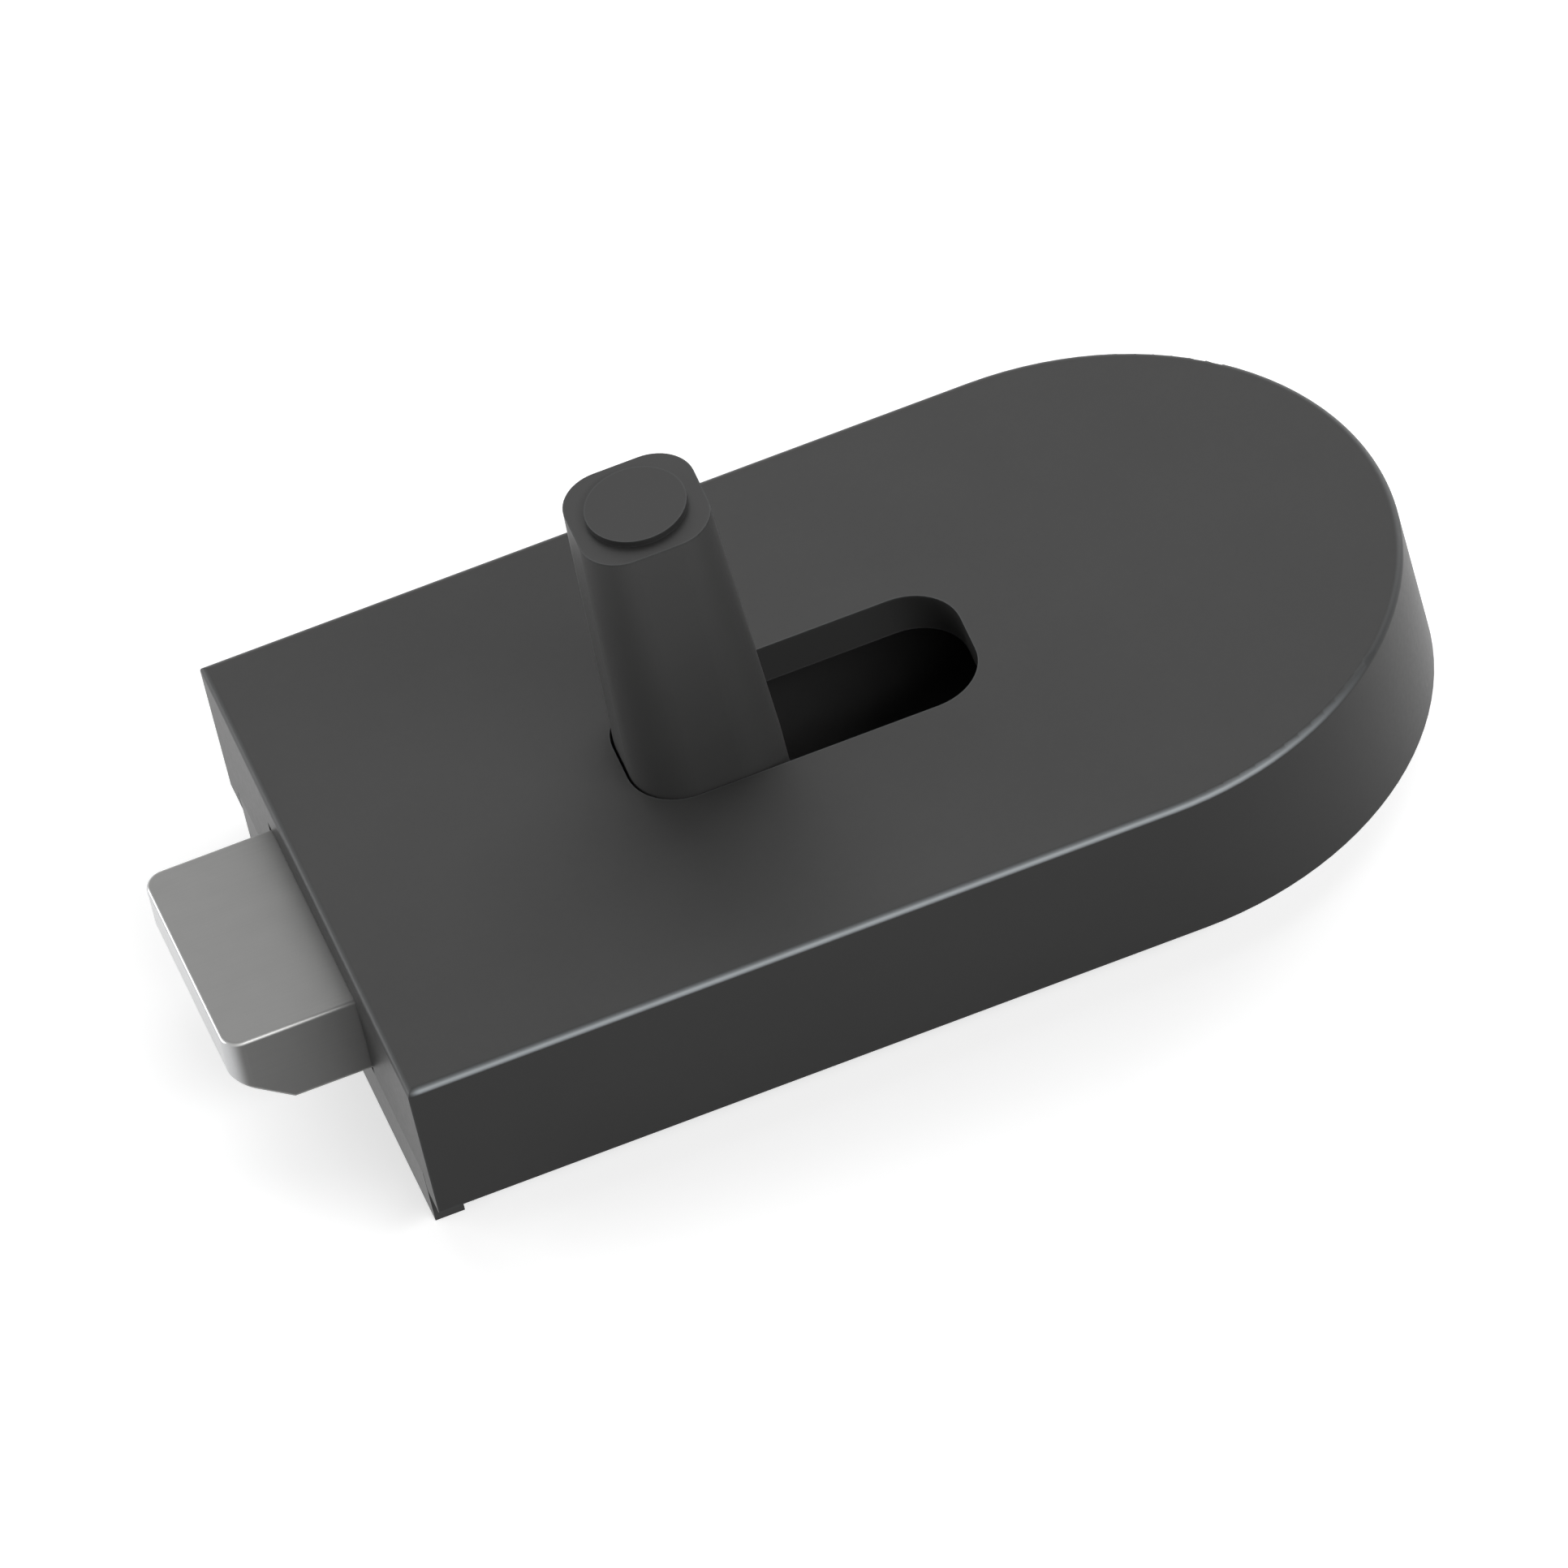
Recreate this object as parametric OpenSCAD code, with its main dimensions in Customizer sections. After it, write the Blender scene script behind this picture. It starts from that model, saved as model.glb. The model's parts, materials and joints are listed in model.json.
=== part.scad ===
// Spring-return sliding bolt for a door or flap.
// A moulded cover with one round end sits on a lipped base plate.
// A flat steel bolt with a bevelled nose comes out of the flat end, towards -X.
// A finger knob through a slot in the cover draws the bolt back against two springs.
// All lengths are in millimetres. The mounting face is the plane z = 0.
// Positions along X are counted from the cover's flat end.
// placed() moves them to the part's origin, at the middle of the mounting threads.

/* [Cover] */
// Width of the cover, and diameter of its round end
cover_w = 45; // [41:0.1:49]
// Length of the cover from the flat end to the tip of the round end
cover_len = 77.2; // [77:0.2:82]
// Height of the cover above the mounting face
cover_h = 11.4; // [10.3:0.1:12.6]
// Radius of the rounded edge round the top
cover_edge_r = 0.5; // [0.2:0.1:1]
// Thickness of the side walls
side_wall_t = 2.45; // [2:0.05:2.5]
// Thickness of the flat end's wall
end_wall_t = 2.6; // [2:0.1:2.7]
// Thickness of the collar that stiffens the slot from below
collar_t = 2; // [1.2:0.1:2.4]
// Depth of that collar below the underside of the top wall
collar_drop = 0.7; // [0.4:0.1:1]

/* [Base plate] */
// Thickness of the base plate
plate_t = 1.5; // [1.2:0.1:1.6]
// Depth of the lip that hooks over the door's edge
lip_drop = 3.1; // [2:0.1:8]
// Thickness of the lip
lip_t = 2.1; // [1.5:0.1:4]

/* [Bolt] */
// Width of the bolt
bolt_w = 18.2; // [16:0.2:18.6]
// Thickness of the bolt
bolt_t = 6.3; // [5.6:0.1:6.5]
// How far the bolt stands out of the cover at rest
bolt_out = 9.25; // [8:0.05:13.5]
// Corner radius of the nose, seen from above
nose_corner_r = 1.4; // [0.6:0.1:3]
// Radius of the bolt's rounded top edges
bolt_edge_r = 0.28; // [0.1:0.02:0.5]
// Length of the bevel under the nose
bevel_len = 3.8; // [2:0.1:6]
// Height of the bevel under the nose
bevel_h = 3; // [2:0.1:4.2]
// Thickness of the tongue under the carrier
tongue_t = 3; // [2.6:0.1:3.6]

/* [Knob] */
// Distance from the cover's flat end to the middle of the knob at rest
knob_from_end = 28.1; // [27.2:0.1:28.3]
// Width of the knob's square foot
knob_foot_w = 10.6; // [10:0.1:10.9]
// Width of the knob's square top
knob_top_w = 9.2; // [8.8:0.1:9.8]
// Corner radius of the knob's top
knob_corner_r = 3; // [2:0.1:3.6]
// Height of the knob above the cover
knob_rise = 21.6; // [19:0.2:26]
// Depth of the screw head's seat below the knob's top
head_seat_depth = 6; // [5.6:0.1:7.5]
// Diameter of the cap on the knob
cap_d = 7; // [6.6:0.1:8]
// How far the cap stands proud of the knob
cap_rise = 0.5; // [0.3:0.1:1]
// How far the knob and the bolt travel
travel = 13.8; // [10:0.2:13.8]

/* [Springs and guides] */
// Wire diameter of the springs
wire_d = 0.45; // [0.3:0.05:0.55]
// Coil diameter of the springs, measured to the middle of the wire
coil_d = 4.05; // [3.8:0.05:4.2]
// Number of turns in each spring
coil_turns = 13; // [8:1:15]
// Length of the springs at rest
spring_len = 24.8; // [23:0.1:25]
// Diameter of the two guide rods
rod_d = 2.5; // [2:0.1:2.6]
// Sideways distance from the bolt's edge to the middle of a guide rod
rod_from_bolt = 3.3; // [3.2:0.05:3.5]
// Length of the carrier's arms along the rods
arm_len = 5; // [4:0.1:5.2]
// Length of the rear block along the rods
rear_block_len = 3.4; // [2.8:0.1:3.5]

/* [Fixings] */
// Distance along X between the mounting threads
mount_spacing_x = 50; // [49.8:0.1:51]
// How much further out the mounting threads stand than midway from the bolt to the side wall
mount_offset = 0.425; // [0.2:0.025:0.6]
// Distance from the flat end to the first mounting threads
mount_from_end = 11; // [10.9:0.05:11.1]
// Core diameter of the mounting threads, for M4
mount_core_d = 3.3; // [3:0.1:3.5]
// Outer diameter of the threaded bushes
bush_d = 6; // [5.4:0.1:6]
// Height of the threaded bushes above the base plate
bush_h = 3; // [2:0.1:5]
// Diameter of the cover screws
cover_screw_d = 2.9; // [2.5:0.1:3]
// Head diameter of the cover screws
cover_head_d = 5.5; // [5:0.1:5.6]
// Length of the cover screws
cover_screw_len = 7.5; // [5:0.5:8]
// Diameter of the knob screw, M3
knob_screw_d = 3; // [2.5:0.1:3.2]

/* [Fits] */
// Play between the knob's foot and the slot, on every side
slot_gap = 0.2; // [0.15:0.05:0.3]
// Sideways play between the bolt and its guide
guide_gap = 0.2; // [0.15:0.05:0.3]
// Play over and under the bolt
bolt_gap = 0.25; // [0.2:0.05:0.3]
// Extra width of the end opening on each side of the bolt
mouth_gap = 0.4; // [0.3:0.05:1]
// Radial play between the carrier and its rods
running_gap = 0.05; // [0.03:0.01:0.1]
// Play where fixed pieces are seated
seat_gap = 0.02; // [0.01:0.01:0.05]
// Width of the slit between the base plate and the cover
plate_slit = 0.15; // [0.1:0.05:0.25]

/* [Hidden] */
// Number of segments in a full circle
$fn = 96;
// Overshoot that makes a cut run clean through
over = 1;
// Half width of the space inside the cover
cavity_half = cover_w / 2 - side_wall_t;
// Where the round end's centre lies
round_x = cover_len - cover_w / 2;
// Lower and upper faces of the bolt
bolt_z0 = plate_t + bolt_gap;
bolt_z1 = bolt_z0 + bolt_t;
// Top of the end opening, which is also the slot collar's lower face
mouth_z = bolt_z1 + bolt_gap;
// Underside of the top wall
ceiling_z = mouth_z + collar_drop;
// Top of the bolt's tongue, on which the carrier sits
tongue_z = bolt_z0 + tongue_t;
// Half width of the base plate
plate_half = cavity_half - plate_slit;
// Distance along Y between the mounting threads
mount_spacing_y = bolt_w / 2 + cavity_half + 2 * mount_offset;

// The knob: distance of its corner centres from its axis, and its foot's corner radius
knob_corner_at = knob_top_w / 2 - knob_corner_r;
foot_corner_r = knob_foot_w / 2 - knob_corner_at;
knob_top_z = cover_h + knob_rise;
head_seat_z = knob_top_z - head_seat_depth;
// The slot, one gap wider than the foot all round and longer by the travel
slot_w = knob_foot_w + 2 * slot_gap;
slot_x0 = knob_from_end - slot_w / 2;
slot_x1 = slot_x0 + slot_w + travel;
slot_corner_r = foot_corner_r + slot_gap;

// The carrier under the knob, and its arms
carrier_x0 = knob_from_end - knob_foot_w / 2;
carrier_x1 = knob_from_end + knob_foot_w / 2;
arm_x1 = carrier_x0 + arm_len;
arm_floor_gap = 0.6;
arm_z0 = plate_t + arm_floor_gap;
rod_y = bolt_w / 2 + rod_from_bolt;
rod_z = (bolt_z0 + bolt_z1) / 2;
rod_seat_d = rod_d + 2 * seat_gap;
rod_to_arm_end = 3.1;
arm_half = rod_y + rod_to_arm_end;

// The front guide, from the end wall to just ahead of the slot's collar
clear_gap = 0.3;
guide_x0 = end_wall_t + seat_gap;
guide_half = mount_spacing_y / 2 - bush_d / 2 - clear_gap;
flange_x0 = mount_from_end + bush_d / 2 + clear_gap;
flange_x1 = slot_x0 - collar_t - clear_gap;
block_overhang = 0.1;
block_half = arm_half + block_overhang;
block_z0 = plate_t + seat_gap;
block_z1 = ceiling_z - seat_gap;
rod_depth = 5;

// Buffers, springs, washers and rear block, one behind the other on the rods
buffer_gap = 0.3;
buffer_x1 = carrier_x0 - buffer_gap;
buffer_d = 4.8;
washer_t = 0.5;
washer_d = 4.8;
spring_x1 = arm_x1 + spring_len;
rear_x0 = spring_x1 + washer_t;
rear_x1 = rear_x0 + rear_block_len;
rear_rod_depth = 2.5;

// Ribs inside the cover that hold the front guide and the rear block
rib_t = 1.2;
rib_reach = 0.7;

// The cover's screws stand in four bosses
boss_d = 5;
boss_wall = 0.1;
front_boss_x = end_wall_t + boss_wall + boss_d / 2;
front_boss_inset = 0.75;
front_boss_y = cavity_half - boss_d / 2 - front_boss_inset;
rear_boss_inset = 1.5;
rear_boss_at = cavity_half - boss_d / 2 - rear_boss_inset;
rear_boss_angle = 34;
rear_boss_x = round_x + rear_boss_at * cos(rear_boss_angle);
rear_boss_y = rear_boss_at * sin(rear_boss_angle);
screw_places = [
  [front_boss_x, front_boss_y],
  [front_boss_x, -front_boss_y],
  [rear_boss_x, rear_boss_y],
  [rear_boss_x, -rear_boss_y]
];
screw_hole_gap = 0.1;
screw_hole_extra = 0.4;
head_sink = 0.05;
screw_hole_z = head_sink + cover_screw_len + screw_hole_extra;
head_h = (cover_head_d - cover_screw_d) / 2;
recess_w = 0.7;
recess_len = 2.8;
recess_depth = 0.9;

// The mounting bushes: the collar pressed into the plate, and their four places
bush_shoulder = 0.4;
bush_collar_d = bush_d - 2 * bush_shoulder;
mount_places = [
  for (x = [mount_from_end, mount_from_end + mount_spacing_x])
    for (side = [-1, 1])
      [x, side * mount_spacing_y / 2]
];
origin_x = mount_from_end + mount_spacing_x / 2;

// The knob's screw, sleeve and cap
head_d = 5.5;
head_height = 3;
hex_af = 2.5;
hex_depth = 1.3;
screw_end_gap = 0.2;
screw_end_z = bolt_z0 + screw_end_gap;
sleeve_d = 4.8;
plug_d = 5.8;
plug_gap = 0.3;
dowel_d = 2;
dowel_from_knob = 2.9;
dowel_from_edge = 2.4;
dowel_end_gap = 0.1;
dowel_x = knob_from_end + dowel_from_knob;
dowel_y = bolt_w / 2 - dowel_from_edge;

// The springs' sections: rings in each turn, and sides of the wire
rings_per_turn = 12;
wire_sides = 6;
spring_play = 0.05;
coil_first_x = arm_x1 + wire_d / 2 + spring_play;
coil_last_x = spring_x1 - wire_d / 2 - spring_play;
coil_pitch = (coil_last_x - coil_first_x) / coil_turns;
echo(least_gap_between_spring_turns = coil_pitch * cos(atan(coil_pitch / (PI * coil_d))) - wire_d);

// Moves a piece from the flat end's frame to the part's frame
module placed() {
  translate([-origin_x, 0, 0])
    children();
}

// A box given by its low and high corners
module span(low, high) {
  translate(low)
    cube(high - low);
}

// A round bar along X
module bar_x(x0, x1, y, z, d) {
  translate([x0, y, z])
    rotate([0, 90, 0])
      cylinder(h = x1 - x0, d = d);
}

// A plan with straight sides and one round end
module d_plan(half, x0) {
  translate([x0, -half])
    square([round_x - x0, 2 * half]);
  translate([round_x, 0])
    circle(r = half);
}

// A quarter of a section: a rectangle with its outer top corner rounded
module rounded_section(w, h, r) {
  square([w - r, h]);
  square([w, h - r]);
  translate([w - r, h - r])
    circle(r = r);
}

// A rectangle with four round corners, centred on its low end in X
module rounded_plan(x0, x1, w, r) {
  translate([x0 + r, -w / 2])
    square([x1 - x0 - 2 * r, w]);
  translate([x0, -w / 2 + r])
    square([x1 - x0, w - 2 * r]);
  for (x = [x0 + r, x1 - r])
    for (side = [-1, 1])
      translate([x, side * (w / 2 - r)])
        circle(r = r);
}

// The cover's outer form, with its top edge rounded all the way round
module cover_blank() {
  intersection() {
    union() {
      translate([round_x, 0, 0])
        rotate([0, 0, -90])
          rotate_extrude(angle = 180)
            rounded_section(cover_w / 2, cover_h, cover_edge_r);
      rotate([90, 0, 90])
        linear_extrude(round_x)
          union() {
            rounded_section(cover_w / 2, cover_h, cover_edge_r);
            mirror([1, 0])
              rounded_section(cover_w / 2, cover_h, cover_edge_r);
          }
    }
    translate([cover_len + over, cover_w, 0])
      rotate([90, 0, 0])
        linear_extrude(2 * cover_w)
          mirror([1, 0])
            rounded_section(cover_len + over, cover_h, cover_edge_r);
  }
}

// One rib that reaches inwards from the side wall
module wall_rib(x0, y0) {
  span([x0, y0, block_z0], [x0 + rib_t, cavity_half + over, ceiling_z + over]);
}

// One side's ribs round the end of a block that lies across the cover
module block_ribs(x0, x1, front_rib) {
  wall_rib((x0 + x1 - rib_t) / 2, block_half + seat_gap);
  wall_rib(x1 + seat_gap, block_half - rib_reach);
  if (front_rib)
    wall_rib(x0 - seat_gap - rib_t, block_half - rib_reach);
}

// The collar that stiffens the slot from below
module slot_collar() {
  half = slot_w / 2 + collar_t;
  span([slot_x0 - collar_t, -half, mouth_z], [slot_x1 + collar_t, half, ceiling_z + over]);
}

// The cover: walls, end opening, slot with its collar, ribs and screw bosses
module cover() {
  mouth_half = bolt_w / 2 + mouth_gap;
  color([0.2, 0.2, 0.2])
    placed()
      difference() {
        union() {
          difference() {
            cover_blank();
            translate([0, 0, -over])
              linear_extrude(ceiling_z + over)
                d_plan(cavity_half, end_wall_t);
          }
          slot_collar();
          for (side = [0, 1])
            mirror([0, side, 0]) {
              block_ribs(flange_x0, flange_x1, false);
              block_ribs(rear_x0, rear_x1, true);
            }
          for (place = screw_places)
            translate([place[0], place[1], block_z0])
              cylinder(h = ceiling_z - block_z0 + over, d = boss_d);
        }
        span([-over, -cavity_half, -over], [end_wall_t + over, cavity_half, block_z0]);
        span([-over, -mouth_half, 0], [end_wall_t + over, mouth_half, mouth_z]);
        translate([0, 0, mouth_z - over])
          linear_extrude(cover_h)
            rounded_plan(slot_x0, slot_x1, slot_w, slot_corner_r);
        for (place = screw_places)
          translate([place[0], place[1], 0])
            cylinder(h = screw_hole_z, d = cover_screw_d + 2 * seat_gap);
      }
}

// The base plate, with the lip turned down over the door's edge
module base_plate() {
  hole_d = cover_screw_d + 2 * screw_hole_gap;
  sink_d = cover_head_d + 2 * screw_hole_gap;
  color([0.18, 0.18, 0.18])
    placed()
      difference() {
        union() {
          linear_extrude(plate_t)
            d_plan(plate_half, 0);
          span([0, -plate_half, -lip_drop], [lip_t, plate_half, plate_t]);
        }
        for (place = screw_places)
          translate([place[0], place[1], 0]) {
            translate([0, 0, -over])
              cylinder(h = plate_t + 2 * over, d = hole_d);
            translate([0, 0, -over])
              cylinder(h = over + head_sink, d = sink_d);
            translate([0, 0, head_sink])
              cylinder(h = head_h, d1 = sink_d, d2 = hole_d);
          }
        for (place = mount_places)
          translate([place[0], place[1], -over])
            cylinder(h = plate_t + 2 * over, d = bush_collar_d + 2 * seat_gap);
      }
}

// Four threaded bushes pressed into the base plate
module mounting_bushes() {
  color([0.62, 0.62, 0.6])
    placed()
      for (place = mount_places)
        translate([place[0], place[1], 0])
          difference() {
            union() {
              cylinder(h = plate_t + over / 2, d = bush_collar_d);
              translate([0, 0, plate_t])
                cylinder(h = bush_h, d = bush_d);
            }
            translate([0, 0, -over])
              cylinder(h = plate_t + bush_h + 2 * over, d = mount_core_d);
          }
}

// A cross recess, cut upwards into a screw head
module cross_recess() {
  for (turn = [0, 90])
    rotate([0, 0, turn])
      span([-recess_len / 2, -recess_w / 2, -over], [recess_len / 2, recess_w / 2, recess_depth]);
}

// Four countersunk screws that hold the cover on the base plate
module cover_screws() {
  color([0.55, 0.55, 0.55])
    placed()
      for (place = screw_places)
        translate([place[0], place[1], head_sink])
          difference() {
            union() {
              cylinder(h = head_h, d1 = cover_head_d, d2 = cover_screw_d);
              cylinder(h = cover_screw_len, d = cover_screw_d);
            }
            cross_recess();
          }
}

// The guide behind the end wall: a channel for the bolt, and a flange that holds the rods
module front_guide() {
  channel_half = bolt_w / 2 + guide_gap;
  color([0.12, 0.12, 0.12])
    placed()
      difference() {
        union() {
          span([guide_x0, -guide_half, block_z0], [flange_x1, guide_half, block_z1]);
          span([flange_x0, -block_half, block_z0], [flange_x1, block_half, block_z1]);
        }
        span([guide_x0 - over, -channel_half, 0], [flange_x1 + over, channel_half, mouth_z]);
        for (side = [-1, 1])
          bar_x(flange_x1 - rod_depth, flange_x1 + over, side * rod_y, rod_z, rod_seat_d);
      }
}

// The block that holds the rods' rear ends and takes the springs' load
module rear_block() {
  color([0.12, 0.12, 0.12])
    placed()
      difference() {
        span([rear_x0, -block_half, block_z0], [rear_x1, block_half, block_z1]);
        for (side = [-1, 1])
          bar_x(rear_x0 - over, rear_x0 + rear_rod_depth, side * rod_y, rod_z, rod_seat_d);
      }
}

// One guide rod, from the front guide to the rear block
module guide_rod(side) {
  color([0.7, 0.7, 0.7])
    placed()
      bar_x(flange_x1 - rod_depth, rear_x0 + rear_rod_depth, side * rod_y, rod_z, rod_d);
}

module left_guide_rod() {
  guide_rod(-1);
}

module right_guide_rod() {
  guide_rod(1);
}

// A ring on a rod
module rod_ring(side, x0, x1, d) {
  difference() {
    bar_x(x0, x1, side * rod_y, rod_z, d);
    bar_x(x0 - over, x1 + over, side * rod_y, rod_z, rod_seat_d);
  }
}

// A rubber ring that the carrier's arm comes to rest on
module rod_buffer(side) {
  color([0.08, 0.08, 0.08])
    placed()
      rod_ring(side, flange_x1, buffer_x1, buffer_d);
}

module left_buffer() {
  rod_buffer(-1);
}

module right_buffer() {
  rod_buffer(1);
}

// Two washers that keep the springs off the rear block
module spring_washers() {
  color([0.7, 0.7, 0.7])
    placed()
      for (side = [-1, 1])
        rod_ring(side, spring_x1, rear_x0, washer_d);
}

// The middle of the spring's wire at ring i
function coil_point(i) =
  let (turn = i / rings_per_turn)
  [coil_first_x + coil_pitch * turn, coil_d / 2 * cos(360 * turn), coil_d / 2 * sin(360 * turn)];

// One corner of the wire's section at ring i
function wire_point(i, side) =
  let (
    turn = i / rings_per_turn,
    out = [0, cos(360 * turn), sin(360 * turn)],
    rise = coil_pitch / (PI * coil_d),
    along = [rise, -sin(360 * turn), cos(360 * turn)] / norm([rise, 1]),
    across = cross(along, out),
    angle = 360 * side / wire_sides
  )
  coil_point(i) + wire_d / 2 * (cos(angle) * out + sin(angle) * across);

// A compression spring round a rod, wound from a formula as one tube
module spring(side) {
  rings = coil_turns * rings_per_turn;
  points = [for (i = [0:rings]) for (k = [0:wire_sides - 1]) wire_point(i, k)];
  skin = [
    for (i = [0:rings - 1])
      for (k = [0:wire_sides - 1])
        let (
          a = i * wire_sides + k,
          b = i * wire_sides + (k + 1) % wire_sides,
          c = b + wire_sides,
          d = a + wire_sides
        )
        each [[a, b, c], [a, c, d]]
  ];
  first_end = [for (k = [1:wire_sides - 2]) [0, k + 1, k]];
  last = rings * wire_sides;
  last_end = [for (k = [1:wire_sides - 2]) [last, last + k, last + k + 1]];
  color([0.75, 0.75, 0.75])
    placed()
      translate([0, side * rod_y, rod_z])
        polyhedron(points = points, faces = concat(skin, first_end, last_end));
}

module left_spring() {
  spring(-1);
}

module right_spring() {
  spring(1);
}

// The bolt's outline with its rounded nose corners and rounded top edges
module bolt_bar() {
  straight = bolt_w / 2 - nose_corner_r;
  for (side = [-1, 1])
    translate([nose_corner_r, side * straight, 0])
      rotate_extrude()
        rounded_section(nose_corner_r, bolt_t, bolt_edge_r);
  translate([0, straight, 0])
    rotate([90, 0, 0])
      linear_extrude(2 * straight)
        translate([2 * nose_corner_r, 0])
          mirror([1, 0])
            rounded_section(2 * nose_corner_r, bolt_t, bolt_edge_r);
  translate([nose_corner_r, 0, 0])
    rotate([90, 0, 90])
      linear_extrude(bolt_out + carrier_x1 - nose_corner_r)
        union() {
          rounded_section(bolt_w / 2, bolt_t, bolt_edge_r);
          mirror([1, 0])
            rounded_section(bolt_w / 2, bolt_t, bolt_edge_r);
        }
}

// The steel bolt: bevelled under the nose, and thinned to a tongue under the carrier
module bolt() {
  color([0.72, 0.72, 0.72])
    placed()
      difference() {
        translate([-bolt_out, 0, bolt_z0])
          bolt_bar();
        translate([-bolt_out, bolt_w, bolt_z0])
          rotate([90, 0, 0])
            linear_extrude(2 * bolt_w)
              polygon([
                [-over, -over],
                [bevel_len + over * bevel_len / bevel_h, -over],
                [-over, bevel_h + over * bevel_h / bevel_len]
              ]);
        span([carrier_x0, -bolt_w, tongue_z], [carrier_x1 + over, bolt_w, bolt_z1 + over]);
        translate([knob_from_end, 0, 0])
          cylinder(h = cover_h, d = knob_screw_d + 2 * seat_gap);
        for (side = [-1, 1])
          translate([dowel_x, side * dowel_y, 0])
            cylinder(h = cover_h, d = dowel_d + 2 * seat_gap);
      }
}

// The carrier: a saddle on the bolt's tongue, with two arms that run on the rods
module carrier() {
  color([0.12, 0.12, 0.12])
    placed()
      difference() {
        union() {
          span([carrier_x0, -bolt_w / 2, tongue_z], [carrier_x1, bolt_w / 2, bolt_z1]);
          span([carrier_x0, -arm_half, tongue_z], [arm_x1, arm_half, bolt_z1]);
          for (side = [0, 1])
            mirror([0, side, 0])
              span([carrier_x0, bolt_w / 2 + guide_gap, arm_z0], [arm_x1, arm_half, bolt_z1]);
        }
        translate([knob_from_end, 0, 0])
          cylinder(h = cover_h, d = knob_screw_d + 2 * screw_hole_gap);
        for (side = [-1, 1]) {
          translate([dowel_x, side * dowel_y, 0])
            cylinder(h = cover_h, d = dowel_d + 2 * seat_gap);
          bar_x(carrier_x0 - over, arm_x1 + over, side * rod_y, rod_z, rod_d + 2 * running_gap);
        }
      }
}

// Two dowels that key the carrier to the bolt's tongue
module carrier_dowels() {
  color([0.6, 0.6, 0.6])
    placed()
      for (side = [-1, 1])
        translate([dowel_x, side * dowel_y, bolt_z0 + dowel_end_gap])
          cylinder(h = bolt_t - 2 * dowel_end_gap, d = dowel_d);
}

// The knob's tapered post: round corners with fixed centres and shrinking radii
module knob_post() {
  for (x = [-1, 1])
    for (y = [-1, 1])
      translate([x * knob_corner_at, y * knob_corner_at, cover_h])
        cylinder(h = knob_rise, r1 = foot_corner_r, r2 = knob_corner_r);
  for (turn = [0, 90])
    rotate([0, 0, turn])
      translate([0, knob_corner_at, cover_h])
        rotate([90, 0, 0])
          linear_extrude(2 * knob_corner_at)
            polygon([
              [-knob_foot_w / 2, 0],
              [knob_foot_w / 2, 0],
              [knob_top_w / 2, knob_rise],
              [-knob_top_w / 2, knob_rise]
            ]);
}

// The knob: a straight foot in the slot, the tapered post and the screw's stepped bore
module knob() {
  color([0.2, 0.2, 0.2])
    placed()
      translate([knob_from_end, 0, 0])
        difference() {
          union() {
            knob_post();
            translate([0, 0, bolt_z1])
              linear_extrude(cover_h - bolt_z1)
                rounded_plan(-knob_foot_w / 2, knob_foot_w / 2, knob_foot_w, foot_corner_r);
          }
          translate([0, 0, bolt_z1 - over])
            cylinder(h = head_seat_z - bolt_z1 + over, d = sleeve_d + 2 * seat_gap);
          translate([0, 0, head_seat_z])
            cylinder(h = head_seat_depth + over, d = plug_d + 2 * seat_gap);
        }
}

// A sleeve inside the knob, so that the screw clamps metal on metal
module knob_sleeve() {
  color([0.72, 0.6, 0.3])
    placed()
      translate([knob_from_end, 0, bolt_z1])
        difference() {
          cylinder(h = head_seat_z - bolt_z1, d = sleeve_d);
          translate([0, 0, -over])
            cylinder(h = head_seat_z - bolt_z1 + 2 * over, d = knob_screw_d + 2 * screw_hole_gap);
        }
}

// The socket-head screw from the knob's top down into the bolt's tongue
module knob_screw() {
  color([0.3, 0.3, 0.3])
    placed()
      translate([knob_from_end, 0, 0])
        difference() {
          union() {
            translate([0, 0, screw_end_z])
              cylinder(h = head_seat_z - screw_end_z + over, d = knob_screw_d);
            translate([0, 0, head_seat_z])
              cylinder(h = head_height, d = head_d);
          }
          translate([0, 0, head_seat_z + head_height - hex_depth])
            cylinder(h = hex_depth + over, r = hex_af / sqrt(3), $fn = 6);
        }
}

// The round cap that closes the screw's bore in the knob
module knob_cap() {
  color([0.2, 0.2, 0.2])
    placed()
      translate([knob_from_end, 0, 0]) {
        translate([0, 0, knob_top_z])
          cylinder(h = cap_rise, d = cap_d);
        translate([0, 0, head_seat_z + head_height + plug_gap])
          cylinder(h = head_seat_depth - head_height - plug_gap + cap_rise / 2, d = plug_d);
      }
}

cover();
base_plate();
mounting_bushes();
cover_screws();
front_guide();
rear_block();
left_guide_rod();
right_guide_rod();
left_buffer();
right_buffer();
left_spring();
right_spring();
spring_washers();
bolt();
carrier();
carrier_dowels();
knob();
knob_sleeve();
knob_screw();
knob_cap();
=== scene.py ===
# Looks, light and camera for a spring-return sliding bolt.
# All lengths are in metres, in the same frame as the CAD part.
import json
import math

import bpy
from mathutils import Euler, Matrix, Vector


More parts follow.
